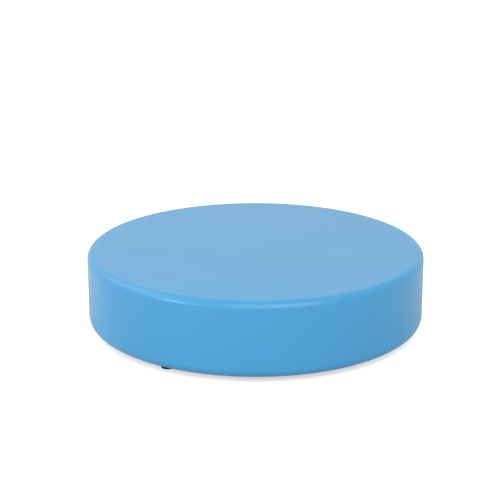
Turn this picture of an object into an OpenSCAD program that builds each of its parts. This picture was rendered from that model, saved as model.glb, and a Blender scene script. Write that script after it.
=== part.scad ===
// Low round seat: a foam drum inside a seamless sprayed skin, on a plywood
// base that stands on four levelling glides.
// Millimetres. The origin is on the floor at the middle of the seat, +Z is up.

/* [Seat] */
// Overall diameter of the seat
seat_d = 914; // [760:1:1200]
// Height of the padded drum, without the feet
drum_h = 201; // [190:1:260]
// Clear height between the floor and the drum
floor_gap = 14; // [12:1:20]
// Radius of the rounded upper rim
top_edge_r = 19; // [8:1:28]
// Radius of the rounded lower rim
bottom_edge_r = 25; // [10:1:40]
// Thickness of the sprayed skin
skin_t = 2; // [1.5:0.5:3]
// Width of the skin that is turned in under the base board
skin_lap = 13; // [12:0.5:14]

/* [Foam] */
// Thickness of the soft comfort layer at the top
comfort_t = 40; // [30:1:60]
// Thickness of the firm layer at the bottom
lower_core_t = 95; // [75:1:110]

/* [Base board] */
// Thickness of the plywood base board
board_t = 15; // [12:1:21]
// Diameter of the holes that let air in and out of the foam
breather_d = 25; // [10:1:40]
// Distance of the breather holes from the middle
breather_circle_r = 220; // [100:5:300]

/* [Dust cover] */
// Thickness of the non-woven dust cover
cover_t = 0.6; // [0.4:0.1:1]
// Number of staples around the dust cover
staple_count = 48; // [24:4:72]
// Length of the legs of a staple
staple_leg = 9; // [6:1:10]

/* [Levelling glides] */
// Distance of the glides from the edge of the base board
glide_inset = 25; // [25:1:60]
// Diameter of the nylon pad
pad_d = 36; // [32:1:50]
// Nominal diameter of the threaded stem
stem_d = 8; // [6, 8]
// Distance between the flats of the hexagon collar
collar_af = 13; // [10:1:14]
// How far a glide screws out of the seat
glide_travel = 10; // [4:1:10]

/* [Hidden] */

// How finely the large and the small round shapes are drawn
drum_fn = 240;
hardware_fn = 48;

// Overlap that keeps a cut clear of the face it starts from
cut = 1;

// Drum: outer skin faces and the foam inside them
seat_r = seat_d / 2;
drum_z0 = floor_gap;
drum_z1 = floor_gap + drum_h;
foam_r = seat_r - skin_t;
foam_z0 = drum_z0 + skin_t;
foam_z1 = drum_z1 - skin_t;
lower_core_z1 = foam_z0 + lower_core_t;
comfort_z0 = foam_z1 - comfort_t;

// Base board, let into the underside of the lower core
board_edge_gap = 2;
board_r = seat_r - bottom_edge_r - board_edge_gap;
board_z0 = foam_z0;
board_z1 = board_z0 + board_t;
breather_angles = [0, 90, 180, 270];

// Glides: one at each corner of a square
glide_numbers = [1 : 4];
glide_circle_r = board_r - glide_inset;
glide_angles = [45, 135, 225, 315];

// Skin lap, dust cover and staples under the board
lap_inner_r = board_r - skin_lap;
cover_edge_gap = 3;
cover_r = board_r - cover_edge_gap;
cover_hole_r = 9.5;
staple_r = (lap_inner_r + cover_r) / 2;
staple_w = 10;
staple_wire_w = 1.2;
staple_wire_t = 0.7;
staple_phase = 0.5;

// Tee nut, pressed into the top of the board
nut_flange_r = 11;
nut_flange_t = 1.5;
nut_wall_t = 1.1;
nut_barrel_r = stem_d / 2 + nut_wall_t;
nut_barrel_l = 11;
nut_prong_r = 8.6;
nut_prong_w = 3.2;
nut_prong_t = 1.2;
nut_prong_l = 7;
nut_prong_angles = [45, 135, 225, 315];
running_clearance = 0.05;

// Pocket in the foam above each tee nut, for the end of the stem
pocket_r = 11.5;
pocket_h = 15;

// Nylon pad with its rubber sole, stem head and steel retainer
pad_r = pad_d / 2;
pad_rim_t = 1.2;
pad_floor_t = 1.2;
pad_headroom = 4;
pad_z0 = 1;
pad_z1 = floor_gap - pad_headroom;
pad_upper_edge_r = 2.4;
pad_lower_edge_r = 0.5;
sole_r = pad_r - pad_rim_t;
sole_t = 2;
sole_groove_depth = 0.6;
sole_groove_w = 1.2;
sole_groove_radii = [8, 11, 14];
head_r = 8.3;
head_t = 2.4;
head_clearance = 0.2;
head_side_clearance = 0.4;
head_z0 = sole_t + pad_floor_t + head_clearance;
neck_r = stem_d / 2 + 0.2;
retainer_r = 10.5;
retainer_hole_r = neck_r + head_side_clearance;
retainer_z0 = head_z0 + head_t + head_clearance;
retainer_t = 1.2;

// Stem
collar_gap = 0.3;
collar_z0 = pad_z1 + collar_gap;
collar_z1 = board_z0 - collar_gap;
thread_pitch = stem_d == 8 ? 1.25 : 1;
thread_depth = 0.6 * thread_pitch;
// Shares of a pitch where a thread's crest rises, is reached, is left and has fallen
thread_marks = [0.1, 0.4, 0.55, 0.85];
thread_crest_r = stem_d / 2;
thread_root_r = thread_crest_r - thread_depth;
thread_turns = floor((board_t + glide_travel - collar_gap) / thread_pitch) - 1;
thread_z0 = collar_z1 + thread_pitch;
stem_tip_z = thread_z0 + thread_turns * thread_pitch;

// Half outline of a drum with rounded rims
module drum_outline(r, z0, z1, low_r, high_r) {
    difference() {
        translate([0, z0]) square([r, z1 - z0]);
        translate([r - low_r, z0 - cut]) square([low_r + cut, low_r + cut]);
        translate([r - high_r, z1 - high_r]) square([high_r + cut, high_r + cut]);
    }
    intersection() {
        translate([r - low_r, z0 + low_r]) circle(low_r, $fn = drum_fn);
        translate([r - low_r, z0]) square([low_r, low_r]);
    }
    intersection() {
        translate([r - high_r, z1 - high_r]) circle(high_r, $fn = drum_fn);
        translate([r - high_r, z1 - high_r]) square([high_r, high_r]);
    }
}

// Half outline of the space inside the skin
module foam_outline() {
    drum_outline(foam_r, foam_z0, foam_z1, bottom_edge_r - skin_t, top_edge_r - skin_t);
}

// One glued layer of the foam, between two heights
module foam_layer(z0, z1) {
    rotate_extrude($fn = drum_fn)
        intersection() {
            foam_outline();
            translate([0, z0]) square([seat_r, z1 - z0]);
        }
}

// Puts a shape at one of the four glides
module at_glide(i) {
    rotate([0, 0, glide_angles[i - 1]]) translate([glide_circle_r, 0, 0]) children();
}

// Plain round plug, from one height to another
module plug(r, z0, z1) {
    translate([0, 0, z0]) cylinder(r = r, h = z1 - z0, $fn = hardware_fn);
}

// Seamless skin, turned in under the board and open inside that lap
module coated_skin() {
    color("#5ea8d6")
    rotate_extrude($fn = drum_fn)
        difference() {
            drum_outline(seat_r, drum_z0, drum_z1, bottom_edge_r, top_edge_r);
            foam_outline();
            translate([0, drum_z0 - cut]) square([lap_inner_r, skin_t + 2 * cut]);
        }
}

// Soft layer under the seat's top face
module comfort_foam() {
    color("#f2ead2") foam_layer(comfort_z0, foam_z1);
}

// Medium layer in the middle of the drum
module upper_core() {
    color("#e6d9a8") foam_layer(lower_core_z1, comfort_z0);
}

// Firm layer with a rebate for the board and a pocket above each tee nut
module lower_core() {
    color("#b9c4cc")
    difference() {
        foam_layer(foam_z0, lower_core_z1);
        translate([0, 0, foam_z0 - cut]) cylinder(r = board_r, h = board_t + cut, $fn = drum_fn);
        for (i = glide_numbers)
            at_glide(i) plug(pocket_r, board_z1 - cut, board_z1 + pocket_h);
    }
}

// Plywood disc with seats for the tee nuts and holes for air
module base_board() {
    color("#d9b98a")
    difference() {
        translate([0, 0, board_z0]) cylinder(r = board_r, h = board_t, $fn = drum_fn);
        for (i = glide_numbers)
            at_glide(i) {
                plug(nut_barrel_r, board_z0 - cut, board_z1 + cut);
                plug(nut_flange_r, board_z1 - nut_flange_t, board_z1 + cut);
            }
        for (a = breather_angles)
            rotate([0, 0, a]) translate([breather_circle_r, 0, 0])
                plug(breather_d / 2, board_z0 - cut, board_z1 + cut);
    }
}

// Black non-woven disc, stepped down over the edge of the skin lap
module dust_cover() {
    color("#26282b")
    difference() {
        rotate_extrude($fn = drum_fn)
            union() {
                translate([0, board_z0 - cover_t]) square([lap_inner_r, cover_t]);
                translate([lap_inner_r - cover_t, drum_z0 - cover_t]) square([cover_t, skin_t + cover_t]);
                translate([lap_inner_r - cover_t, drum_z0 - cover_t])
                    square([cover_r - lap_inner_r + cover_t, cover_t]);
            }
        for (i = glide_numbers)
            at_glide(i) plug(cover_hole_r, drum_z0 - cover_t - cut, board_z0 + cut);
    }
}

// One wire staple: its crown lies along Y and its legs point up
module staple() {
    translate([-staple_wire_w / 2, 0, 0])
        rotate([90, 0, 90])
            linear_extrude(staple_wire_w)
                difference() {
                    translate([-staple_w / 2, 0]) square([staple_w, staple_leg]);
                    translate([staple_wire_t - staple_w / 2, staple_wire_t])
                        square([staple_w - 2 * staple_wire_t, staple_leg]);
                }
}

// Ring of staples through the dust cover and the skin lap into the board
module staples() {
    color("#c9ccce")
    for (i = [0 : staple_count - 1])
        rotate([0, 0, (i + staple_phase) * 360 / staple_count])
            translate([staple_r, 0, drum_z0 - cover_t - staple_wire_t]) staple();
}

// Flanged tee nut with four prongs that bite into the wood
module tee_nut(i) {
    color("#c8c6b4")
    at_glide(i)
        difference() {
            union() {
                plug(nut_flange_r, board_z1 - nut_flange_t, board_z1);
                plug(nut_barrel_r, board_z1 - nut_flange_t - nut_barrel_l, board_z1 - nut_flange_t);
                for (a = nut_prong_angles)
                    rotate([0, 0, a])
                        translate([nut_prong_r, 0, board_z1 - nut_flange_t])
                            rotate([90, 0, 90])
                                linear_extrude(nut_prong_t)
                                    polygon([[-nut_prong_w / 2, 0], [0, -nut_prong_l], [nut_prong_w / 2, 0]]);
            }
            plug(thread_crest_r + running_clearance, board_z0, board_z1 + cut);
        }
}

// Half outline of the round parts of the stem: head, neck and thread
module stem_outline() {
    translate([0, head_z0]) square([head_r, head_t]);
    translate([0, head_z0 + head_t]) square([neck_r, collar_z1 - head_z0 - head_t]);
    thread_r = [thread_root_r, thread_crest_r, thread_crest_r, thread_root_r];
    polygon([
        [0, collar_z1],
        [thread_root_r, collar_z1],
        for (i = [0 : thread_turns - 1], k = [0 : 3])
            [thread_r[k], thread_z0 + (i + thread_marks[k]) * thread_pitch],
        [thread_root_r, stem_tip_z],
        [thread_root_r - thread_pitch / 2, stem_tip_z + thread_pitch / 2],
        [0, stem_tip_z + thread_pitch / 2]
    ]);
}

// Threaded stem with its hexagon collar; the head turns inside the pad
module glide_stem(i) {
    color("#b4b8bb")
    at_glide(i)
        union() {
            rotate_extrude($fn = hardware_fn) stem_outline();
            translate([0, 0, collar_z0])
                cylinder(d = collar_af / cos(30), h = collar_z1 - collar_z0, $fn = 6);
        }
}

// Steel ring pressed into the pad above the head of the stem
module stem_retainer(i) {
    color("#9da1a4")
    at_glide(i)
        difference() {
            plug(retainer_r, retainer_z0, retainer_z0 + retainer_t);
            plug(retainer_hole_r, retainer_z0 - cut, retainer_z0 + retainer_t + cut);
        }
}

// Nylon pad: a cavity for the stem's head, under a seat for its retainer
module glide_pad(i) {
    color("#23282b")
    at_glide(i)
        rotate_extrude($fn = hardware_fn)
            difference() {
                drum_outline(pad_r, pad_z0, pad_z1, pad_lower_edge_r, pad_upper_edge_r);
                translate([0, pad_z0 - cut]) square([sole_r, sole_t - pad_z0 + cut]);
                translate([0, head_z0 - head_clearance])
                    square([head_r + head_side_clearance, head_t + 2 * head_clearance]);
                translate([0, retainer_z0]) square([retainer_r, pad_z1 - retainer_z0 + cut]);
            }
}

// Rubber disc let into the underside of the pad, with ring grooves for grip
module glide_sole(i) {
    color("#17191a")
    at_glide(i)
        difference() {
            plug(sole_r, 0, sole_t);
            for (r = sole_groove_radii)
                difference() {
                    plug(r, -cut, sole_groove_depth);
                    plug(r - sole_groove_w, -2 * cut, sole_groove_depth + cut);
                }
        }
}

coated_skin();
comfort_foam();
upper_core();
lower_core();
base_board();
dust_cover();
staples();
tee_nut(1);  // tee_nut_1
tee_nut(2);  // tee_nut_2
tee_nut(3);  // tee_nut_3
tee_nut(4);  // tee_nut_4
glide_stem(1);  // glide_stem_1
glide_stem(2);  // glide_stem_2
glide_stem(3);  // glide_stem_3
glide_stem(4);  // glide_stem_4
stem_retainer(1);  // stem_retainer_1
stem_retainer(2);  // stem_retainer_2
stem_retainer(3);  // stem_retainer_3
stem_retainer(4);  // stem_retainer_4
glide_pad(1);  // glide_pad_1
glide_pad(2);  // glide_pad_2
glide_pad(3);  // glide_pad_3
glide_pad(4);  // glide_pad_4
glide_sole(1);  // glide_sole_1
glide_sole(2);  // glide_sole_2
glide_sole(3);  // glide_sole_3
glide_sole(4);  // glide_sole_4
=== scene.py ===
"""Looks of a low round floor seat: a foam drum in a seamless sprayed skin, on a plywood base with
four levelling glides. Everything is in metres, in the frame's own axes: the floor is at height 0."""
import math
import random

import bmesh
import bpy
from mathutils import Matrix, Vector, noise


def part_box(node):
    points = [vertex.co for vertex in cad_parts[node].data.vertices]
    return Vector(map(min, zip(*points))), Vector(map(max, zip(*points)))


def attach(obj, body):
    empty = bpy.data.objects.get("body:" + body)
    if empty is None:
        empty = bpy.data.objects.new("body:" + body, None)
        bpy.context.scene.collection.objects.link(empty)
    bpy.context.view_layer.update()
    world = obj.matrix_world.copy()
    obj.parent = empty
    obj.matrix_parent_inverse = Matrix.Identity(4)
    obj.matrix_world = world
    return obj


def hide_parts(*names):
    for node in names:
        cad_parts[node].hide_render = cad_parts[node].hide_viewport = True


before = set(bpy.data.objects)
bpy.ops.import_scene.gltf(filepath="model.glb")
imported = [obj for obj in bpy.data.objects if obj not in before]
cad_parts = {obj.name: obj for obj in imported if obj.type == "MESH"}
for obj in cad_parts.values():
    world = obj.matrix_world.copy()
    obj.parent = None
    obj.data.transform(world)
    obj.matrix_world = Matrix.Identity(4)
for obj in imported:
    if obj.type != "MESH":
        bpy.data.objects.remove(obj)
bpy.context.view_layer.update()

MM = 0.001
UP = Vector((0, 0, 1))
GLIDES = (1, 2, 3, 4)


def round_box(node):
    """Radius, lowest and highest height of a round CAD node."""
    low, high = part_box(node)
    return (high.x - low.x) / 2, low.z, high.z


# Drum, read from the frame
SEAT_R, DRUM_Z0, DRUM_Z1 = round_box("coated_skin")
FOAM_R, COMFORT_JOINT_Z, FOAM_Z1 = round_box("comfort_foam")
CORE_JOINT_Z = round_box("upper_core")[1]
BOARD_R, BOARD_Z0, BOARD_Z1 = round_box("base_board")
COVER_R = round_box("dust_cover")[0]
SKIN_T = DRUM_Z1 - FOAM_Z1
FOAM_Z0 = DRUM_Z0 + SKIN_T

# Rims of the drum, and how far the skin turns in under the board
TOP_EDGE_R = 19 * MM
BOTTOM_EDGE_R = 25 * MM
SKIN_LAP = 13 * MM
LAP_R = BOARD_R - SKIN_LAP
# Centres of the two rims' arcs, as (radius, height)
UPPER_RIM = (SEAT_R - TOP_EDGE_R, DRUM_Z1 - TOP_EDGE_R)
LOWER_RIM = (SEAT_R - BOTTOM_EDGE_R, DRUM_Z0 + BOTTOM_EDGE_R)


# ---------------------------------------------------------------- camera, lights and floor

# The camera's place, as seen from the middle of the object, in degrees and metres
VIEW_AZIMUTH = -11.7
VIEW_ELEVATION = 18.88
VIEW_DISTANCE = 3.898
LENS_MM = 102
# How far above and beside the object's middle the camera aims
AIM_UP = 0.0866
AIM_RIGHT = -0.0151

WORLD_STRENGTH = 1.02
LIGHT_DISTANCE = 3.5
# name: azimuth, elevation, width, height, power
LIGHTS = {
    "key_light": (-64, 20, 1.1, 0.9, 24),
    "front_light": (2, 38, 3.2, 2.7, 56),
    "side_light": (-110, 40, 2.8, 2.6, 27),
}
FLOOR_SIZE = 60
FLOOR_ALBEDO = 0.67
FLOOR_TONE_RANGE = 0.005
# Light added to the floor as the camera sees it, so that the paper is white around the shadow
FLOOR_GLOW = 0.54


def direction(azimuth, elevation):
    """Unit vector towards a place seen at these angles: azimuth 0 is in front, -Y."""
    a, e = math.radians(azimuth), math.radians(elevation)
    return Vector((math.sin(a) * math.cos(e), -math.cos(a) * math.cos(e), math.sin(e)))


def add_camera():
    middle = UP * (DRUM_Z0 + DRUM_Z1) / 2
    back = direction(VIEW_AZIMUTH, VIEW_ELEVATION)
    right = UP.cross(back).normalized()
    camera = bpy.data.objects.new("camera", bpy.data.cameras.new("camera"))
    camera.data.lens = LENS_MM
    camera.location = middle + back * VIEW_DISTANCE
    target = middle + back.cross(right) * AIM_UP + right * AIM_RIGHT
    camera.rotation_euler = (target - camera.location).to_track_quat("-Z", "Y").to_euler()
    bpy.context.scene.collection.objects.link(camera)
    bpy.context.scene.camera = camera


def add_area_light(name, azimuth, elevation, width, height, power):
    """Soft rectangular light that faces the seat."""
    data = bpy.data.lights.new(name, "AREA")
    data.shape = "RECTANGLE"
    data.size, data.size_y = width, height
    data.energy = power
    light = bpy.data.objects.new(name, data)
    light.location = direction(azimuth, elevation) * LIGHT_DISTANCE
    light.rotation_euler = (-light.location).to_track_quat("-Z", "Y").to_euler()
    bpy.context.scene.collection.objects.link(light)


def add_floor():
    mesh = bpy.data.meshes.new("floor")
    half = FLOOR_SIZE / 2
    corners = [(-half, -half, 0), (half, -half, 0), (half, half, 0), (-half, half, 0)]
    mesh.from_pydata(corners, [], [(0, 1, 2, 3)])
    floor = bpy.data.objects.new("floor", mesh)
    floor.data.materials.append(floor_material())
    bpy.context.scene.collection.objects.link(floor)


def add_studio():
    scene = bpy.context.scene
    scene.view_settings.view_transform = "Standard"
    world = bpy.data.worlds.new("studio")
    world.use_nodes = True
    background = world.node_tree.nodes["Background"]
    background.inputs["Color"].default_value = (1, 1, 1, 1)
    background.inputs["Strength"].default_value = WORLD_STRENGTH
    scene.world = world
    for name, settings in LIGHTS.items():
        add_area_light(name, *settings)
    add_floor()


# ---------------------------------------------------------------- outlines and meshes

# Segments around: the drum's outside, its foams, small turned parts and holes
SKIN_STEPS = 480
FOAM_STEPS = 240
SMALL_STEPS = 96
HOLE_STEPS = 48
# Segments along an outline: the skin's flat top and side, a foam's flat face, the rims outside and inside
TOP_SEGMENTS = 46
SIDE_SEGMENTS = 28
FACE_SEGMENTS = 30
RIM_SEGMENTS = 14
INNER_RIM_SEGMENTS = 10
# An edge is shaded sharp where its faces turn by more than this, in degrees
SOFT_SHARP = 50
HARD_SHARP = 40
FINE_SHARP = 35
THREAD_SHARP = 25


def run(start, end, count):
    """Points from start towards end, without end, as (radius, height)."""
    first, last = Vector(start), Vector(end)
    return [tuple(first.lerp(last, i / count)) for i in range(count)]


def arc(centre, radius, start, end, count):
    """Points on an arc from one angle to another, in degrees, both ends included."""
    points = []
    for i in range(count + 1):
        a = math.radians(start + (end - start) * i / count)
        points.append((centre[0] + radius * math.cos(a), centre[1] + radius * math.sin(a)))
    return points


def rounded(corners, radius, count=4, closed=False):
    """Outline through these corners with each turn rounded. The ends of an open one stay as they are."""
    points = []
    n = len(corners)
    for i, corner in enumerate(corners):
        if not closed and i in (0, n - 1):
            points.append(corner)
            continue
        here = Vector(corner)
        before = Vector(corners[i - 1]) - here
        after = Vector(corners[(i + 1) % n]) - here
        # Just under half of each side, so that neighbouring turns never meet
        reach = min(radius, before.length / 2.01, after.length / 2.01)
        start, end = here + before.normalized() * reach, here + after.normalized() * reach
        for k in range(count + 1):
            t = k / count
            points.append(tuple(start * (1 - t) ** 2 + here * 2 * t * (1 - t) + end * t ** 2))
    return points


def box_outline(inner_r, outer_r, low_z, high_z):
    """Corners of a plain ring or disc, as (radius, height)."""
    return [(inner_r, low_z), (outer_r, low_z), (outer_r, high_z), (inner_r, high_z)]


def grid_faces(rows, columns, rows_closed, columns_closed):
    """Quads between neighbouring points of a grid whose points are numbered row by row."""
    faces = []
    for i in range(rows if rows_closed else rows - 1):
        a, b = i * columns, (i + 1) % rows * columns
        for k in range(columns if columns_closed else columns - 1):
            m = (k + 1) % columns
            faces.append((a + k, a + m, b + m, b + k))
    return faces


def end_caps(count, size):
    """Two flat faces that close a tube of this many points, made of rings of this size."""
    return [tuple(range(size))[::-1], tuple(range(count - size, count))]


def add_poles(vertices, faces, rows, low_z, high_z):
    """Closes a turned surface with a point on the axis at each end of its outline."""
    size = len(vertices) // rows
    pole = len(vertices)
    vertices += [(0, 0, low_z), (0, 0, high_z)]
    for k in range(rows):
        a, b = k * size, (k + 1) % rows * size
        faces += [(pole, b, a), (pole + 1, a + size - 1, b + size - 1)]


def lathe(outline, steps, closed=False):
    """Part made by turning an outline about Z. An open outline runs from axis to axis."""
    ring = outline if closed else outline[1:-1]
    angles = [2 * math.pi * k / steps for k in range(steps)]
    vertices = [(r * math.cos(a), r * math.sin(a), z) for a in angles for r, z in ring]
    faces = grid_faces(steps, len(ring), True, closed)
    if not closed:
        add_poles(vertices, faces, steps, outline[0][1], outline[-1][1])
    return vertices, faces


def turned(levels, steps, closed=False):
    """Part of (height, radius) levels about Z, where a radius may be a function of the angle."""
    vertices = []
    for z, radius in levels:
        for k in range(steps):
            a = 2 * math.pi * k / steps
            r = radius(a) if callable(radius) else radius
            vertices.append((r * math.cos(a), r * math.sin(a), z))
    faces = grid_faces(len(levels), steps, closed, True)
    if not closed:
        faces += end_caps(len(vertices), steps)
    return vertices, faces


def moved(part, matrix):
    """The part with each vertex put through a matrix."""
    return [tuple(matrix @ Vector(v)) for v in part[0]], part[1]


def joined(parts):
    """Several parts as one."""
    vertices, faces = [], []
    for more, their_faces in parts:
        start = len(vertices)
        vertices += more
        faces += [tuple(i + start for i in face) for face in their_faces]
    return vertices, faces


def shade_smooth(mesh, sharp):
    """Smooth shading, except at edges that turn by more than this many degrees."""
    mesh.shade_smooth()
    mesh.set_sharp_from_angle(angle=math.radians(sharp))


def make_object(name, part, sharp=HARD_SHARP):
    """Mesh object of a part, with its faces turned outwards."""
    mesh = bpy.data.meshes.new(name)
    mesh.from_pydata(part[0], [], part[1])
    tidy = bmesh.new()
    tidy.from_mesh(mesh)
    bmesh.ops.recalc_face_normals(tidy, faces=tidy.faces)
    tidy.to_mesh(mesh)
    tidy.free()
    shade_smooth(mesh, sharp)
    piece = bpy.data.objects.new(name, mesh)
    bpy.context.scene.collection.objects.link(piece)
    return piece


def dress(piece, body, material, node):
    """Gives a piece its material and its body, and hides the CAD node that it stands for."""
    piece.data.materials.append(material)
    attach(piece, body)
    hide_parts(node)


def glide_axis(i):
    """Where the axis of a glide meets the floor."""
    low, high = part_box(f"glide_pad_{i}")
    return Vector(((low.x + high.x) / 2, (low.y + high.y) / 2, 0))


def at_glide(part, i):
    """A part made around Z, put at a glide and turned to face outwards."""
    place = glide_axis(i)
    return moved(part, Matrix.Translation(place) @ Matrix.Rotation(math.atan2(place.y, place.x), 4, "Z"))


def cut_at_glides(piece, radius, low_z, high_z):
    """Cuts a round hole or pocket into a soft piece at each glide."""
    hole = lathe(box_outline(0, radius, low_z, high_z), HOLE_STEPS)
    tool = make_object("cutter", joined([at_glide(hole, i) for i in GLIDES]))
    modifier = piece.modifiers.new("cut", "BOOLEAN")
    modifier.operation = "DIFFERENCE"
    modifier.solver = "EXACT"
    modifier.object = tool
    evaluated = piece.evaluated_get(bpy.context.evaluated_depsgraph_get())
    mesh = bpy.data.meshes.new_from_object(evaluated)
    piece.modifiers.clear()
    piece.data = mesh
    shade_smooth(mesh, SOFT_SHARP)
    bpy.data.objects.remove(tool)


def smoothstep(x, low, high):
    t = min(1, max(0, (x - low) / (high - low)))
    return t * t * (3 - 2 * t)


# ---------------------------------------------------------------- skin

LAP_EDGE_R = 0.8 * MM
# Slow unevenness of the sprayed skin over the foam, and its height
WAVE_SIZE = 0.2
WAVE_HEIGHT = 0.1 * MM


def skin_outline():
    """Outside from the middle of the top, down and in under the board, then back along the inside."""
    outside = run((0, DRUM_Z1), (UPPER_RIM[0], DRUM_Z1), TOP_SEGMENTS)
    outside += arc(UPPER_RIM, TOP_EDGE_R, 90, 0, RIM_SEGMENTS)
    outside += run((SEAT_R, UPPER_RIM[1]), (SEAT_R, LOWER_RIM[1]), SIDE_SEGMENTS)[1:]
    outside += arc(LOWER_RIM, BOTTOM_EDGE_R, 0, -90, RIM_SEGMENTS)
    lap = [(LOWER_RIM[0], DRUM_Z0), (LAP_R, DRUM_Z0), (LAP_R, FOAM_Z0), (LOWER_RIM[0], FOAM_Z0)]
    inside = arc(LOWER_RIM, BOTTOM_EDGE_R - SKIN_T, -90, 0, INNER_RIM_SEGMENTS)
    inside += arc(UPPER_RIM, TOP_EDGE_R - SKIN_T, 0, 90, INNER_RIM_SEGMENTS)
    return outside + rounded(lap, LAP_EDGE_R)[1:-1] + inside + [(0, FOAM_Z1)]


def skin_normal(p):
    """Direction out of the drum at a point of its skin: up on the top, outwards on the side."""
    radial = Vector((p.x, p.y, 0))
    if radial.length < UPPER_RIM[0]:
        return UP
    share_up = max(0, p.z - UPPER_RIM[1]) / TOP_EDGE_R
    return UP.slerp(radial.normalized(), 1 - share_up)


def waved(p):
    """A point of the skin, drawn in a little where it lies on the outside."""
    outside = max(p.z - FOAM_Z1, math.hypot(p.x, p.y) - FOAM_R) / SKIN_T
    if outside <= 0 or p.z <= LOWER_RIM[1]:
        return p
    wave = 0.5 + 0.5 * noise.noise(p / WAVE_SIZE)
    return p - skin_normal(p) * WAVE_HEIGHT * wave * min(1, outside)


def add_skin():
    vertices, faces = lathe(skin_outline(), SKIN_STEPS)
    skin = make_object("seat_skin", ([tuple(waved(Vector(v))) for v in vertices], faces))
    dress(skin, "seat", skin_material(), "coated_skin")


# ---------------------------------------------------------------- foams

FOAM_EDGE_R = 1.2 * MM
# Soft unevenness that the saw leaves on the foam: how long and how high
SAW_SIZE = 0.03
SAW_HEIGHT = 0.15 * MM
# Room in the firm foam over the tip of each glide's stem
POCKET_R = 11.5 * MM
POCKET_DEPTH = 15 * MM
# Size of the pores in each foam
COMFORT_PORE = 0.9 * MM
MIDDLE_PORE = 1.1 * MM
FIRM_PORE = 1.4 * MM


def comfort_outline():
    """Soft top layer, with the drum's rounded upper rim."""
    low = [(0, COMFORT_JOINT_Z), (FOAM_R, COMFORT_JOINT_Z), (FOAM_R, UPPER_RIM[1])]
    low = rounded(low, FOAM_EDGE_R)
    outline = run(low[0], low[1], FACE_SEGMENTS) + low[1:-1]
    outline += arc(UPPER_RIM, TOP_EDGE_R - SKIN_T, 0, 90, INNER_RIM_SEGMENTS)
    outline += run((UPPER_RIM[0], FOAM_Z1), (0, FOAM_Z1), FACE_SEGMENTS)[1:]
    return outline + [(0, FOAM_Z1)]


def middle_outline():
    """Plain disc between the firm foam and the soft one."""
    return rounded(box_outline(0, FOAM_R, CORE_JOINT_Z, COMFORT_JOINT_Z), FOAM_EDGE_R)


def firm_outline():
    """Bottom layer, with a rebate for the board and the drum's rounded lower rim."""
    rebate = [(0, BOARD_Z1), (BOARD_R, BOARD_Z1), (BOARD_R, FOAM_Z0), (LOWER_RIM[0], FOAM_Z0)]
    outline = rounded(rebate, FOAM_EDGE_R)[:-1]
    outline += arc(LOWER_RIM, BOTTOM_EDGE_R - SKIN_T, -90, 0, INNER_RIM_SEGMENTS)
    upper = [(FOAM_R, LOWER_RIM[1]), (FOAM_R, CORE_JOINT_Z), (0, CORE_JOINT_Z)]
    return outline + rounded(upper, FOAM_EDGE_R)[1:]


def foam_object(name, outline):
    """One foam layer, with the soft unevenness of a saw cut."""
    vertices, faces = lathe(outline, FOAM_STEPS)
    sawn = []
    for v in vertices:
        p = Vector(v)
        sawn.append(tuple(p + UP * SAW_HEIGHT * noise.noise(p / SAW_SIZE)))
    return make_object(name, (sawn, faces), SOFT_SHARP)


def add_foams():
    comfort = foam_object("comfort_layer", comfort_outline())
    middle = foam_object("middle_layer", middle_outline())
    firm = foam_object("firm_layer", firm_outline())
    cut_at_glides(firm, POCKET_R, BOARD_Z0, BOARD_Z1 + POCKET_DEPTH)
    cream = foam_material("comfort", COMFORT_FOAM, COMFORT_PORE)
    amber = foam_material("medium", UPPER_FOAM, MIDDLE_PORE)
    grey = foam_material("firm", LOWER_FOAM, FIRM_PORE)
    dress(comfort, "seat", cream, "comfort_foam")
    dress(middle, "seat", amber, "upper_core")
    dress(firm, "seat", grey, "lower_core")


# ---------------------------------------------------------------- dust cover and staples

STAPLE_COUNT = 48

CLOTH_T = 0.3 * MM
CLOTH_Z = BOARD_Z0 - 0.6 * MM
CLOTH_HOLE_R = 9.5 * MM
# The hem, turned double, lies under the edge of the skin's lap
HEM_T = 0.6 * MM
HEM_Z = DRUM_Z0 - HEM_T
# Ring where the cloth steps down from the board to the lap
STEP_START_R = LAP_R - 5 * MM
STEP_END_R = LAP_R - 0.8 * MM
# Puckers between the staples: how high they are, where they start and from where they are full
PUCKER_HEIGHT = 0.45 * MM
PUCKER_START_R = LAP_R - 70 * MM
PUCKER_FULL_R = LAP_R - 4 * MM
# Where the cloth begins to thicken into the hem
HEM_START_R = LAP_R - 2 * MM
# Slack of the cloth: how high it is, and the sizes of its wide and small waves
SLACK_HEIGHT = 0.35 * MM
SLACK_SIZE = 0.11
SLACK_FINE_SIZE = 0.035
# Points of the cloth: columns from staple to staple, rings under the board, rings over the step and the lap
COLUMNS_PER_STAPLE = 8
FLAT_RINGS = 54
STEP_RINGS = 18


def cloth_height(r, a):
    """Height of the dust cover's underside: flat under the board, drawn into puckers between the staples,
    and stepped down over the edge of the skin's lap."""
    pucker = math.cos(STAPLE_COUNT * a) * smoothstep(r, PUCKER_START_R, PUCKER_FULL_R)
    here = Vector((r * math.cos(a), r * math.sin(a), 0))
    slack = noise.noise(here / SLACK_SIZE) + 0.5 * noise.noise(here / SLACK_FINE_SIZE)
    z = CLOTH_Z - PUCKER_HEIGHT * (0.5 + 0.5 * pucker) - SLACK_HEIGHT * (0.5 + 0.5 * slack)
    step = smoothstep(r, STEP_START_R, STEP_END_R)
    return z * (1 - step) + HEM_Z * step


def cloth_thickness(r):
    return CLOTH_T + (HEM_T - CLOTH_T) * smoothstep(r, HEM_START_R, LAP_R)


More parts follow.
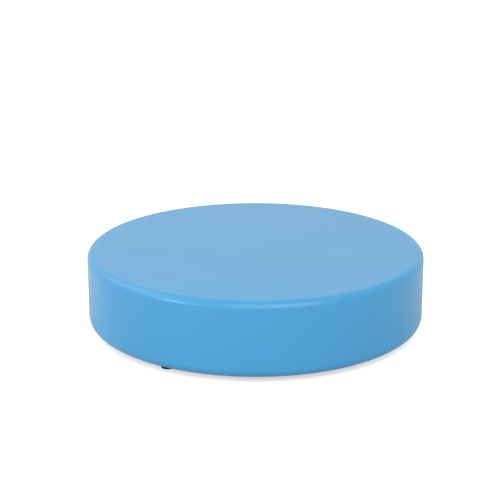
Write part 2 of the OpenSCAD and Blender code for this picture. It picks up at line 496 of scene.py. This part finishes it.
def dust_cover_part():
    """Closed sheet: from the middle out along its underside, over its edge and back along its top."""
    rows = STAPLE_COUNT * COLUMNS_PER_STAPLE
    radii = [STEP_START_R * i / FLAT_RINGS for i in range(1, FLAT_RINGS)]
    radii += [STEP_START_R + (COVER_R - STEP_START_R) * i / STEP_RINGS for i in range(STEP_RINGS + 1)]
    vertices = []
    for k in range(rows):
        a = 2 * math.pi * k / rows
        under = [(r, cloth_height(r, a)) for r in radii]
        over = [(r, z + cloth_thickness(r)) for r, z in reversed(under)]
        vertices += [(r * math.cos(a), r * math.sin(a), z) for r, z in under + over]
    faces = grid_faces(rows, 2 * len(radii), True, False)
    middle = cloth_height(0, 0)
    add_poles(vertices, faces, rows, middle, middle + CLOTH_T)
    return vertices, faces


def add_dust_cover():
    cover = make_object("underside_cloth", dust_cover_part(), SOFT_SHARP)
    cut_at_glides(cover, CLOTH_HOLE_R, 0, BOARD_Z1)
    dress(cover, "seat", nonwoven_material(), "dust_cover")


STAPLE_W = 10 * MM
STAPLE_LEG = 9 * MM
STAPLE_BEND = 0.8 * MM
BEND_SEGMENTS = 4
# The tips are ground thin: how far up, and to what share of the wire's thickness
CHISEL_L = 1.5 * MM
CHISEL_SHARE = 0.25
WIRE_W = 1.2 * MM
WIRE_T = 0.7 * MM
WIRE_EDGE_R = 0.2 * MM
# How far a staple is driven askew, in degrees, and off the ring
STAPLE_ASKEW = 7
STAPLE_STRAY = 0.5 * MM
STAPLE_SEED = 7


def staple_line():
    """Bent centre line of the wire, from one tip over the crown to the other, as (along, height)."""
    half, crown = (STAPLE_W - WIRE_T) / 2, WIRE_T / 2
    line = [(-half, STAPLE_LEG), (-half, STAPLE_LEG - CHISEL_L), (-half, crown + STAPLE_BEND)]
    line += arc((-half + STAPLE_BEND, crown + STAPLE_BEND), STAPLE_BEND, 180, 270, BEND_SEGMENTS)[1:]
    return line + [(0, crown)] + [(-y, z) for y, z in reversed(line)]


def staple_part():
    """One staple: its crown along Y, its legs up, made by sweeping the flat wire along its centre line."""
    line = staple_line()
    wire = box_outline(-WIRE_W / 2, WIRE_W / 2, -WIRE_T / 2, WIRE_T / 2)
    wire = rounded(wire, WIRE_EDGE_R, count=2, closed=True)
    last = len(line) - 1
    vertices = []
    for i, (y, z) in enumerate(line):
        before, after = line[max(i - 1, 0)], line[min(i + 1, last)]
        along = Vector((0, after[0] - before[0], after[1] - before[1])).normalized()
        across = Vector((1, 0, 0)).cross(along)
        chisel = CHISEL_SHARE if i in (0, last) else 1
        vertices += [tuple(Vector((w, y, z)) + across * t * chisel) for w, t in wire]
    faces = grid_faces(len(line), len(wire), False, True)
    return vertices, faces + end_caps(len(vertices), len(wire))


def add_staples():
    dice = random.Random(STAPLE_SEED)
    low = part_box("staples")[0]
    ring_r = (LAP_R + COVER_R) / 2
    staple, parts = staple_part(), []
    for i in range(STAPLE_COUNT):
        turn = Matrix.Rotation((i + 0.5) * 2 * math.pi / STAPLE_COUNT, 4, "Z")
        askew = Matrix.Rotation(math.radians(dice.uniform(-STAPLE_ASKEW, STAPLE_ASKEW)), 4, "Z")
        place = Matrix.Translation((ring_r + dice.uniform(-STAPLE_STRAY, STAPLE_STRAY), 0, low.z))
        parts.append(moved(staple, turn @ place @ askew))
    staples = make_object("staple_ring", joined(parts), FINE_SHARP)
    dress(staples, "seat", staple_material(), "staples")


# ---------------------------------------------------------------- glides: the thread

# Sizes of the glide's hardware that the frame doesn't give
PITCH = 1.25 * MM
THREAD_R = 4 * MM
THREAD_DEPTH = 0.6 * PITCH
ROOT_R = THREAD_R - THREAD_DEPTH
# Shares of a pitch at which the flank rises, the crest starts, it ends, and the flank is back at the root
THREAD_SHARES = (0.1, 0.4, 0.55, 0.85)
SCREW_STEPS = 72
LEVELS_PER_TURN = 8


def thread_share(z, a):
    """How far the right-hand thread stands out of its root, from 0 to 1, at a height and an angle."""
    rise, crest, leave, root = THREAD_SHARES
    share = (z / PITCH - a / (2 * math.pi)) % 1
    if share < crest:
        return max(0, (share - rise) / (crest - rise))
    return min(1, max(0, (root - share) / (root - leave)))


def thread_levels(z0, z1, extra=0.0, fade=0.0):
    """Levels of a thread between two heights. It runs out into its root over the fade at either end."""
    count = round((z1 - z0) / PITCH * LEVELS_PER_TURN)
    levels = []
    for i in range(count + 1):
        z = z0 + (z1 - z0) * i / count
        full = 1 if fade == 0 else min(1, (z - z0) / fade, (z1 - z) / fade)

        def radius(a, z=z, full=full):
            return ROOT_R + extra + THREAD_DEPTH * thread_share(z, a) * full

        levels.append((z, radius))
    return levels


# ---------------------------------------------------------------- glides: the stem

HEAD_T = 2.4 * MM
HEAD_EDGE = 0.35 * MM
NECK_R = 4.2 * MM
COLLAR_FLATS = 13 * MM
SIXTH = math.radians(60)
COLLAR_CHAMFER = 0.5 * MM
CHAMFER_SEGMENTS = 3
# How much more the collar's corners give way than its chamfer is high
CHAMFER_SLOPE = 1.4
# Clear of the pad below and of the board above
COLLAR_GAP = 0.3 * MM
THREAD_RUN_OUT = 1.2 * MM
UNDERCUT = 0.6 * MM


def hexagon(limit):
    """Radius of the collar's hexagon at an angle, cut back to a limit by its chamfer."""
    def radius(a):
        flat = COLLAR_FLATS / 2 / math.cos((a + SIXTH / 2) % SIXTH - SIXTH / 2)
        return min(flat, limit)
    return radius


def collar_levels(z0, z1):
    """Hexagon collar with its corners chamfered at both ends."""
    corner = COLLAR_FLATS / 2 / math.cos(SIXTH / 2)
    levels = []
    for end, inward in ((z0, 1), (z1, -1)):
        chamfer = []
        for k in range(CHAMFER_SEGMENTS + 1):
            cut = COLLAR_CHAMFER * (1 - k / CHAMFER_SEGMENTS)
            chamfer.append((end + inward * (COLLAR_CHAMFER - cut), hexagon(corner - CHAMFER_SLOPE * cut)))
        levels += chamfer[::inward]
    return levels


def stem_part(i):
    """Stem of one glide, from its round head up to the tip of its thread, in one closed surface."""
    head_r, low_z, high_z = round_box(f"glide_stem_{i}")
    head_z = low_z + HEAD_T
    pad_z = round_box(f"glide_pad_{i}")[2]
    collar_z0, collar_z1 = pad_z + COLLAR_GAP, BOARD_Z0 - COLLAR_GAP
    levels = [(low_z, head_r - HEAD_EDGE), (low_z + HEAD_EDGE, head_r), (head_z - HEAD_EDGE, head_r)]
    levels += [(head_z, head_r - HEAD_EDGE), (head_z, NECK_R), (collar_z0, NECK_R)]
    levels += collar_levels(collar_z0, collar_z1)
    levels += [(collar_z1, ROOT_R), (collar_z1 + UNDERCUT, ROOT_R)]
    levels += thread_levels(collar_z1 + UNDERCUT, high_z - PITCH / 2, fade=THREAD_RUN_OUT)
    levels += [(high_z, ROOT_R - PITCH / 2)]
    return turned(levels, SCREW_STEPS)


# ---------------------------------------------------------------- glides: the tee nut

FLANGE_T = 1.5 * MM
NUT_EDGE = 0.3 * MM
BARREL_WALL = 1.1 * MM
BORE_PLAY = 0.06 * MM
BORE_MOUTH = 0.4 * MM
# Notches in the flange's edge, where the prongs are bent out of it
NOTCH_DEPTH = 1.7 * MM
NOTCH_HALF = math.radians(11)
# Share of the half notch over which its sides slope
NOTCH_SLOPE = 0.2
PRONG_L = 7 * MM
PRONG_W = 3.2 * MM
PRONG_WAIST_W = 1.8 * MM
PRONG_T = 1.2 * MM
PRONG_R = 8.6 * MM
QUARTER = math.radians(90)


def prong_part(flange_z):
    """Four pointed teeth under the flange, one at each notch."""
    half, waist = PRONG_W / 2, PRONG_WAIST_W / 2
    tooth = [(-half, 0), (-waist, -PRONG_L / 2), (0, -PRONG_L), (waist, -PRONG_L / 2), (half, 0)]
    tooth = rounded(tooth, NUT_EDGE, count=2)
    n = len(tooth)
    vertices = [(PRONG_R + depth, y, flange_z + z) for depth in (0, PRONG_T) for y, z in tooth]
    prong = vertices, grid_faces(2, n, False, True) + end_caps(2 * n, n)
    return joined([moved(prong, Matrix.Rotation((k + 0.5) * QUARTER, 4, "Z")) for k in range(4)])


def nut_part(i):
    """Tee nut of one glide: a threaded barrel under a flange, with four prongs bent down from its edge."""
    flange_r, low_z, high_z = round_box(f"tee_nut_{i}")
    barrel_r, flange_z = THREAD_R + BARREL_WALL, high_z - FLANGE_T

    def flange(a):
        beside = abs((a + QUARTER / 2) % QUARTER - QUARTER / 2)
        off_notch = abs(beside - QUARTER / 2)
        inner, outer = NOTCH_HALF * (1 - NOTCH_SLOPE), NOTCH_HALF * (1 + NOTCH_SLOPE)
        return flange_r - NOTCH_DEPTH * (1 - smoothstep(off_notch, inner, outer))

    def flange_edge(a):
        return flange(a) - NUT_EDGE

    levels = [(low_z, barrel_r - NUT_EDGE), (low_z + NUT_EDGE, barrel_r), (flange_z - NUT_EDGE, barrel_r)]
    levels += [(flange_z, barrel_r + NUT_EDGE), (flange_z, flange_edge)]
    levels += [(flange_z + NUT_EDGE, flange), (high_z - NUT_EDGE, flange), (high_z, flange_edge)]
    levels += [(high_z, THREAD_R + BORE_MOUTH)]
    levels += reversed(thread_levels(low_z, high_z, extra=BORE_PLAY))
    return joined([turned(levels, SCREW_STEPS, closed=True), prong_part(flange_z)])


# ---------------------------------------------------------------- glides: the foot

PAD_SHOULDER = 2.4 * MM
SHOULDER_SEGMENTS = 8
PAD_FLOOR_T = 1.2 * MM
PAD_CAVITY_R = 8.7 * MM
PAD_INNER_EDGE = 0.25 * MM
PAD_OUTER_EDGE = 0.4 * MM
SOLE_GROOVES = (8 * MM, 11 * MM, 14 * MM)
GROOVE_W = 1.2 * MM
GROOVE_DEPTH = 0.6 * MM
SOLE_EDGE = 0.22 * MM
RETAINER_HOLE_R = 4.6 * MM
RETAINER_EDGE = 0.25 * MM


def pad_part(i):
    """Moulded pad: open at the top for the stem's head and its retainer, recessed below for the sole."""
    pad_r, low_z, high_z = round_box(f"glide_pad_{i}")
    sole_r, _, sole_z = round_box(f"glide_sole_{i}")
    ring_r, ring_z, _ = round_box(f"stem_retainer_{i}")
    floor_z = sole_z + PAD_FLOOR_T
    shoulder_r, shoulder_z = pad_r - PAD_SHOULDER, high_z - PAD_SHOULDER
    cavity = [(0, floor_z), (PAD_CAVITY_R, floor_z), (PAD_CAVITY_R, ring_z), (ring_r, ring_z)]
    cavity += [(ring_r, high_z), (shoulder_r, high_z)]
    rim = [(pad_r, shoulder_z), (pad_r, low_z), (sole_r, low_z), (sole_r, sole_z), (0, sole_z)]
    outline = rounded(cavity, PAD_INNER_EDGE)[:-1]
    outline += arc((shoulder_r, shoulder_z), PAD_SHOULDER, 90, 0, SHOULDER_SEGMENTS)
    outline += rounded(rim, PAD_OUTER_EDGE)[1:]
    return lathe(outline, SMALL_STEPS)


def sole_part(i):
    """Rubber disc with rounded ring grooves in its underside."""
    sole_r, _, high_z = round_box(f"glide_sole_{i}")
    corners = [(0, 0)]
    for outer in SOLE_GROOVES:
        inner = outer - GROOVE_W
        corners += [(inner, 0), (inner, GROOVE_DEPTH), (outer, GROOVE_DEPTH), (outer, 0)]
    corners += [(sole_r, 0), (sole_r, high_z), (0, high_z)]
    return lathe(rounded(corners, SOLE_EDGE, count=3), SMALL_STEPS)


def retainer_part(i):
    """Pressed steel ring with softened edges."""
    ring_r, low_z, high_z = round_box(f"stem_retainer_{i}")
    corners = box_outline(RETAINER_HOLE_R, ring_r, low_z, high_z)
    return lathe(rounded(corners, RETAINER_EDGE, count=3, closed=True), SMALL_STEPS, closed=True)


def add_glides():
    zinc, steel, nylon, rubber = zinc_material(), retainer_material(), nylon_material(), rubber_material()
    for i in GLIDES:
        foot, stem = f"glide_{i}_foot", f"glide_{i}_stem"
        kinds = (
            ("threaded_insert", nut_part, "seat", zinc, "zinc_plated_steel", "tee_nut", FINE_SHARP),
            ("screw_stem", stem_part, stem, zinc, "zinc_plated_steel", "glide_stem", THREAD_SHARP),
            ("head_ring", retainer_part, foot, steel, "retainer_steel", "stem_retainer", HARD_SHARP),
            ("nylon_foot", pad_part, foot, nylon, "black_nylon", "glide_pad", HARD_SHARP),
            ("rubber_tread", sole_part, foot, rubber, "sole_rubber", "glide_sole", HARD_SHARP),
        )
        for name, make, body, material, slot, node, sharp in kinds:
            piece = make_object(f"{name}_{i}", at_glide(make(i), i), sharp)
            dress(piece, body, material, f"{node}_{i}")


# ---------------------------------------------------------------- materials: the node tree

class Graph:
    """A material's node tree, with short calls for the nodes that the materials share."""

    def __init__(self, name, **settings):
        self.material = bpy.data.materials.new(name)
        self.material.use_nodes = True
        self.tree = self.material.node_tree
        self.shader = self.tree.nodes["Principled BSDF"]
        for key, value in settings.items():
            self.shader.inputs[key.replace("_", " ")].default_value = value

    def feed(self, socket, value):
        """Gives a socket a value, a colour of three numbers, or another node's output."""
        if isinstance(value, bpy.types.NodeSocket):
            self.tree.links.new(value, socket)
        elif socket.type == "RGBA":
            socket.default_value = (*value, 1)
        else:
            socket.default_value = value

    def add(self, kind, inputs=None, **settings):
        """A node with its settings and its inputs, by name or by number."""
        node = self.tree.nodes.new(kind)
        for key, value in settings.items():
            setattr(node, key, value)
        for key, value in (inputs or {}).items():
            self.feed(node.inputs[key], value)
        return node

    def place(self, stretch=(1, 1, 1)):
        """Place in the piece, in metres, stretched."""
        coordinates = self.add("ShaderNodeTexCoord").outputs["Object"]
        return self.add("ShaderNodeMapping", {"Vector": coordinates, "Scale": stretch}).outputs["Vector"]

    def axes(self):
        """Outputs X, Y and Z of the place in the piece."""
        return self.add("ShaderNodeSeparateXYZ", {"Vector": self.place()}).outputs

    def noise(self, size, detail=2.0, stretch=(1, 1, 1), roughness=0.5):
        """Cloudy pattern from 0 to 1 whose patches are about this size."""
        inputs = {"Vector": self.place(stretch), "Scale": 1 / size}
        inputs.update({"Detail": detail, "Roughness": roughness})
        return self.add("ShaderNodeTexNoise", inputs).outputs["Fac"]

    def clouds(self, size, detail=3.0, low=0.3, high=0.7):
        """Noise with its contrast raised, from 0 to 1."""
        return self.between(self.noise(size, detail), low, high)

    def cells(self, size):
        """Distance from the middle of cells of this size."""
        inputs = {"Vector": self.place(), "Scale": 1 / size}
        return self.add("ShaderNodeTexVoronoi", inputs).outputs["Distance"]

    def between(self, value, low, high, out_low=0.0, out_high=1.0):
        """The value moved from one range to another, and kept inside it."""
        inputs = {"Value": value, "From Min": low, "From Max": high, "To Min": out_low, "To Max": out_high}
        return self.add("ShaderNodeMapRange", inputs).outputs["Result"]

    def math(self, operation, a, b=0.0):
        return self.add("ShaderNodeMath", {0: a, 1: b}, operation=operation).outputs[0]

    def blend(self, share, first, second):
        """Two colours mixed by a share from 0 to 1."""
        return self.add("ShaderNodeMix", {0: share, 6: first, 7: second}, data_type="RGBA").outputs[2]

    def bump(self, height, depth, under=None):
        """Relief of this depth in metres, on top of another relief."""
        inputs = {"Height": height, "Distance": depth, "Strength": 1.0}
        if under is not None:
            inputs["Normal"] = under
        return self.add("ShaderNodeBump", inputs).outputs["Normal"]

    def stripes(self, place, spacing, half_width):
        """1 along thin stripes across a place's axis, which repeat at this spacing, and 0 between them.
        The half width is a share of the spacing."""
        phase = self.math("FRACT", self.math("DIVIDE", place, spacing))
        off = self.math("ABSOLUTE", self.math("SUBTRACT", phase, 0.5))
        return self.between(off, half_width, half_width * 1.6, 1, 0)

    def finish(self, **sockets):
        """Joins outputs to the shader's inputs and returns the material."""
        for key, socket in sockets.items():
            self.tree.links.new(socket, self.shader.inputs[key.replace("_", " ")])
        return self.material


def shade(colour, factor):
    return tuple(min(1.0, c * factor) for c in colour)


# ---------------------------------------------------------------- materials: skin and foams

# Colours are linear
SKIN_BLUE = (0.031, 0.239, 0.452)
COMFORT_FOAM = (0.82, 0.76, 0.58)
UPPER_FOAM = (0.72, 0.60, 0.32)
LOWER_FOAM = (0.34, 0.40, 0.46)

# The roughness of the skin and how far it varies. It stays above 0.274 all over, because the renderer's
# denoiser takes a shinier coat for a mirror, and the border between the two shows as ragged patches
SKIN_ROUGHNESS = 0.30
SKIN_GLOSS_RANGE = 0.018
# Sizes of the skin's patterns: specks, patches of colour and of gloss
SPECK_SIZE = 1.6 * MM
TONE_SIZE = 0.22
GLOSS_SIZE = 0.09
# Orange peel, over wider waves where the coat has flowed
FLOW_SIZE = 9 * MM
FLOW_DEPTH = 0.04 * MM
PEEL_SIZE = 2.2 * MM
PEEL_DEPTH = 0.016 * MM


def skin_material():
    """Sprayed polyurethane: satin, with a fine orange peel and a barely uneven colour and gloss."""
    g = Graph("sprayed_skin", IOR=1.5)
    speck = g.clouds(SPECK_SIZE, 1, 0.35, 0.65)
    tone = g.blend(g.clouds(TONE_SIZE), shade(SKIN_BLUE, 0.985), shade(SKIN_BLUE, 1.015))
    colour = g.blend(g.math("MULTIPLY", speck, 0.35), tone, shade(SKIN_BLUE, 0.965))
    gloss = g.between(g.noise(GLOSS_SIZE, 3), 0.3, 0.7,
                      SKIN_ROUGHNESS - SKIN_GLOSS_RANGE, SKIN_ROUGHNESS + SKIN_GLOSS_RANGE)
    flow = g.bump(g.noise(FLOW_SIZE), FLOW_DEPTH)
    peel = g.bump(g.noise(PEEL_SIZE, 1), PEEL_DEPTH, under=flow)
    return g.finish(Base_Color=colour, Roughness=gloss, Normal=peel)


def foam_material(name, colour, cell):
    """Open-cell foam: pores of the given size in a matte body with soft patches, the pores painted darker
    as painted shade inside the holes.
    """
    g = Graph(f"foam_{name}", Roughness=0.95, Subsurface_Weight=0.15, Subsurface_Scale=1.0,
              Subsurface_Radius=(1.2 * MM, 0.9 * MM, 0.5 * MM))
    # Mask of the pores: it drives the relief, and the painted shade in the pores
    pore_shade_and_depth = g.between(g.cells(cell), 0.05, 0.55)
    small = g.between(g.cells(cell * 0.45), 0.05, 0.5)
    body = g.blend(g.clouds(0.05), shade(colour, 0.94), shade(colour, 1.04))
    relief = g.bump(g.math("ADD", pore_shade_and_depth, g.math("MULTIPLY", small, 0.4)), cell * 0.5)
    # The middle of each pore is painted at 0.62 of the foam's colour: painted shade in the hollows of the
    # cells
    return g.finish(Base_Color=g.blend(pore_shade_and_depth, shade(colour, 0.62), body), Normal=relief)


# ---------------------------------------------------------------- materials: board and dust cover

BIRCH_DARK = (0.50, 0.34, 0.18)
BIRCH_LIGHT = (0.66, 0.49, 0.29)
BIRCH_FIGURE = (0.58, 0.40, 0.22)
BIRCH_VESSEL = (0.33, 0.20, 0.09)
GLUE_BROWN = (0.20, 0.11, 0.05)
PLY_T = 1.5 * MM

FIBRE_DARK = (0.012, 0.012, 0.013)
FIBRE_LIGHT = (0.045, 0.046, 0.050)
FIBRE_CLOUD = (0.065, 0.066, 0.070)
BOND_DOT = (0.010, 0.010, 0.011)
BOND_SPACING = 2.4 * MM


def plywood_material():
    """Birch plywood: long grain on the faces, thin plies with dark glue lines on the edge."""
    g = Graph("birch_plywood")
    grain = g.noise(5 * MM, 5, stretch=(0.05, 1, 1), roughness=0.6)
    figure = g.between(g.noise(60 * MM, 3, stretch=(0.25, 1, 1)), 0.35, 0.65, 0, 0.5)
    vessels = g.between(g.noise(0.7 * MM, 1, stretch=(0.03, 1, 1)), 0.55, 0.75)
    face = g.blend(g.between(grain, 0.3, 0.7), BIRCH_DARK, BIRCH_LIGHT)
    face = g.blend(figure, face, BIRCH_FIGURE)
    face = g.blend(g.math("MULTIPLY", vessels, 0.35), face, BIRCH_VESSEL)
    glue = g.stripes(g.math("SUBTRACT", g.axes()["Z"], BOARD_Z0), PLY_T, 0.05)
    relief = g.bump(g.math("ADD", grain, vessels), 0.12 * MM)
    return g.finish(Base_Color=g.blend(g.math("MULTIPLY", glue, 0.75), face, GLUE_BROWN),
                    Roughness=g.between(grain, 0.3, 0.7, 0.55, 0.72), Normal=relief)


def nonwoven_material():
    """Spunbonded black cloth: tangled fibres pressed together in a grid of small dots."""
    g = Graph("nonwoven_cloth", Roughness=0.82, Sheen_Weight=0.25, Sheen_Roughness=0.5)
    along, across = [g.noise(0.35 * MM, 2, stretch) for stretch in ((0.12, 1, 1), (1, 0.12, 1))]
    fibres = g.math("MAXIMUM", along, across)
    columns, rows = [g.stripes(g.axes()[axis], BOND_SPACING, 0.12) for axis in ("X", "Y")]
    dots = g.math("MULTIPLY", columns, rows)
    tangled = g.blend(g.between(fibres, 0.45, 0.7), FIBRE_DARK, FIBRE_LIGHT)
    tangled = g.blend(g.math("MULTIPLY", g.clouds(12 * MM, 4), 0.35), tangled, FIBRE_CLOUD)
    relief = g.bump(g.math("SUBTRACT", fibres, dots), 0.12 * MM)
    return g.finish(Base_Color=g.blend(g.math("MULTIPLY", dots, 0.6), tangled, BOND_DOT), Normal=relief)


# ---------------------------------------------------------------- materials: hardware, foot and floor

NYLON_BLACK = (0.012, 0.015, 0.018)
NYLON_SCUFF = (0.060, 0.064, 0.068)
RUBBER_BLACK = (0.011, 0.011, 0.011)
RUBBER_BLOOM = (0.040, 0.039, 0.037)
WHITE = (1, 1, 1)


def metal_material(name, light, dark, roughness, grain, patch):
    """Metal with fine drawn lines and soft patches in its plating."""
    g = Graph(name, Metallic=1.0)
    lines = g.noise(grain, 3, stretch=(1, 1, 0.15))
    patches = g.clouds(patch, 4, 0.35, 0.65)
    wear = g.math("ADD", g.math("MULTIPLY", lines, 0.6), g.math("MULTIPLY", patches, 0.4))
    rough = g.between(wear, 0.3, 0.7, roughness - 0.07, roughness + 0.09)
    colour = g.blend(patches, dark, light)
    return g.finish(Base_Color=colour, Roughness=rough, Normal=g.bump(lines, 0.006 * MM))


def zinc_material():
    light, dark = (0.66, 0.69, 0.72), (0.55, 0.56, 0.53)
    return metal_material("bright_zinc", light, dark, 0.30, 0.25 * MM, 3 * MM)


def retainer_material():
    light, dark = (0.45, 0.45, 0.46), (0.30, 0.30, 0.31)
    return metal_material("rolled_steel", light, dark, 0.42, 0.2 * MM, 5 * MM)


def staple_material():
    light, dark = (0.70, 0.72, 0.73), (0.52, 0.54, 0.56)
    return metal_material("galvanised_wire", light, dark, 0.34, 0.15 * MM, 1.2 * MM)


def nylon_material():
    """Black moulded nylon with a fine spark-eroded grain and light scuffs."""
    g = Graph("moulded_nylon", IOR=1.53)
    scuff = g.between(g.noise(2.2 * MM, 5, stretch=(1, 1, 3), roughness=0.7), 0.58, 0.72)
    colour = g.blend(g.math("MULTIPLY", scuff, 0.35), NYLON_BLACK, NYLON_SCUFF)
    rough = g.between(scuff, 0, 1, 0.42, 0.6)
    return g.finish(Base_Color=colour, Roughness=rough, Normal=g.bump(g.noise(0.28 * MM), 0.02 * MM))


def rubber_material():
    """Black rubber with a dusty bloom."""
    g = Graph("sole_rubber", Specular_IOR_Level=0.4)
    bloom = g.between(g.noise(4 * MM, 5, roughness=0.65), 0.4, 0.7)
    rough = g.between(bloom, 0, 1, 0.7, 0.9)
    return g.finish(Base_Color=g.blend(bloom, RUBBER_BLACK, RUBBER_BLOOM), Roughness=rough,
                    Normal=g.bump(g.noise(0.5 * MM, 3), 0.04 * MM))


def floor_material():
    """Matte white paper with a faint tooth, brightened for the camera only."""
    g = Graph("paper_floor", Roughness=0.9, Emission_Color=(*WHITE, 1))
    dull, bright = [shade(WHITE, FLOOR_ALBEDO + off) for off in (-FLOOR_TONE_RANGE, FLOOR_TONE_RANGE)]
    seen = g.add("ShaderNodeLightPath").outputs["Is Camera Ray"]
    colour, tooth = g.blend(g.noise(0.4), dull, bright), g.bump(g.noise(1 * MM), 0.01 * MM)
    return g.finish(Base_Color=colour, Normal=tooth, Emission_Strength=g.math("MULTIPLY", seen, FLOOR_GLOW))


# ---------------------------------------------------------------- the whole seat

def dress_board():
    """The CAD board stays: it only gets its plywood."""
    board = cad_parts["base_board"]
    board.data.materials.clear()
    board.data.materials.append(plywood_material())


add_camera()
add_studio()
add_skin()
add_foams()
dress_board()
add_dust_cover()
add_staples()
add_glides()
